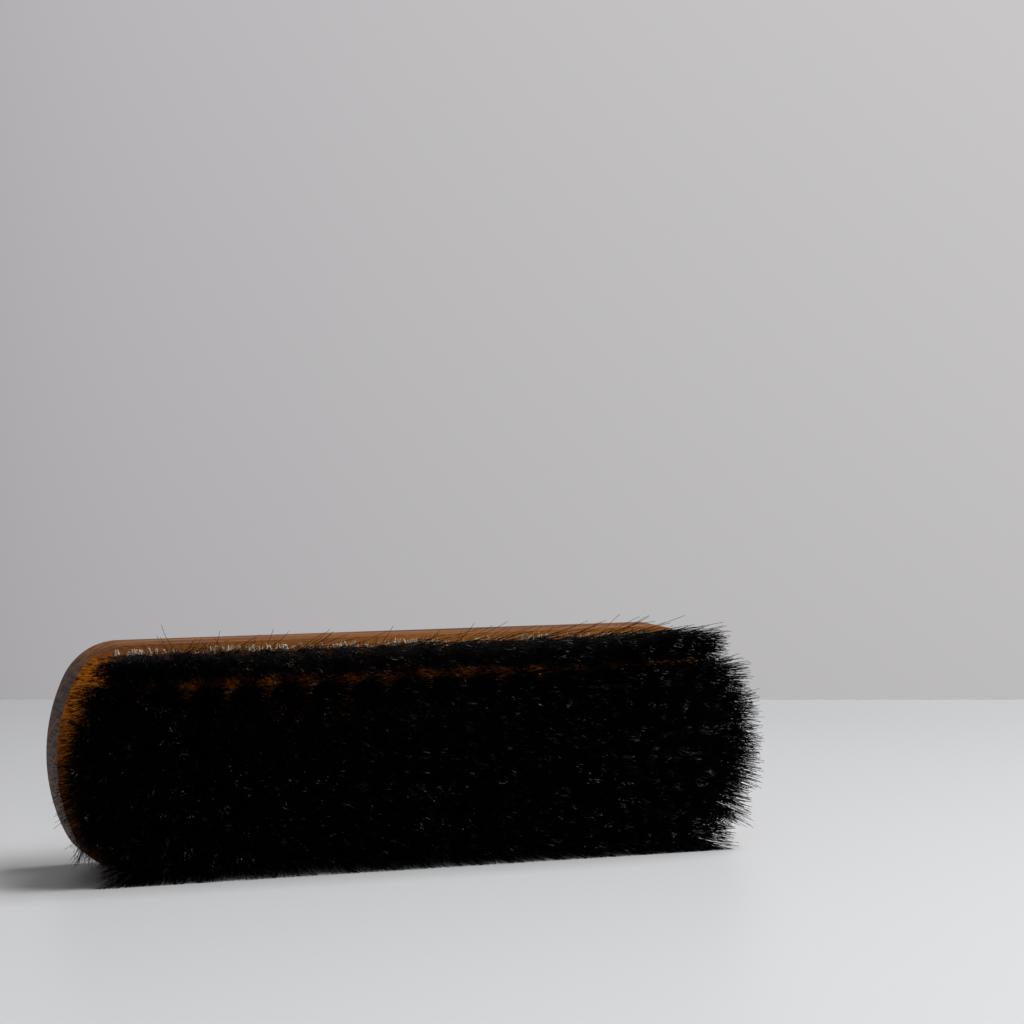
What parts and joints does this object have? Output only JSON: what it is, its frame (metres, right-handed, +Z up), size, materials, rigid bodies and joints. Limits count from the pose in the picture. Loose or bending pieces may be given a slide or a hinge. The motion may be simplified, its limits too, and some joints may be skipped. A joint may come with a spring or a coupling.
{
  "type": "horsehair brush",
  "caption": "Horsehair hand brush: stained beech block with bowed ends and a chamfered back, filled with staggered rows of dark bristle tufts, lying on its long side.",
  "frame": {"origin": "centre of the bounding box, on the surface that the brush lies on", "axes": "+X along the block, -Y out of the bristles, +Z up across the block's width, from the long side that it lies on"},
  "size_m": [0.18, 0.039, 0.0584],
  "materials": {
    "beech": "satin lacquer over dark reddish-brown stain",
    "horsehair": "natural hair, black with a faint gloss"
  },
  "bodies": {
    "root": {"beech_block": "beech", "tuft_row_1": "horsehair", "tuft_row_2": "horsehair", "tuft_row_3": "horsehair", "tuft_row_4": "horsehair", "tuft_row_5": "horsehair", "tuft_row_6": "horsehair"}
  },
  "joints": []
}
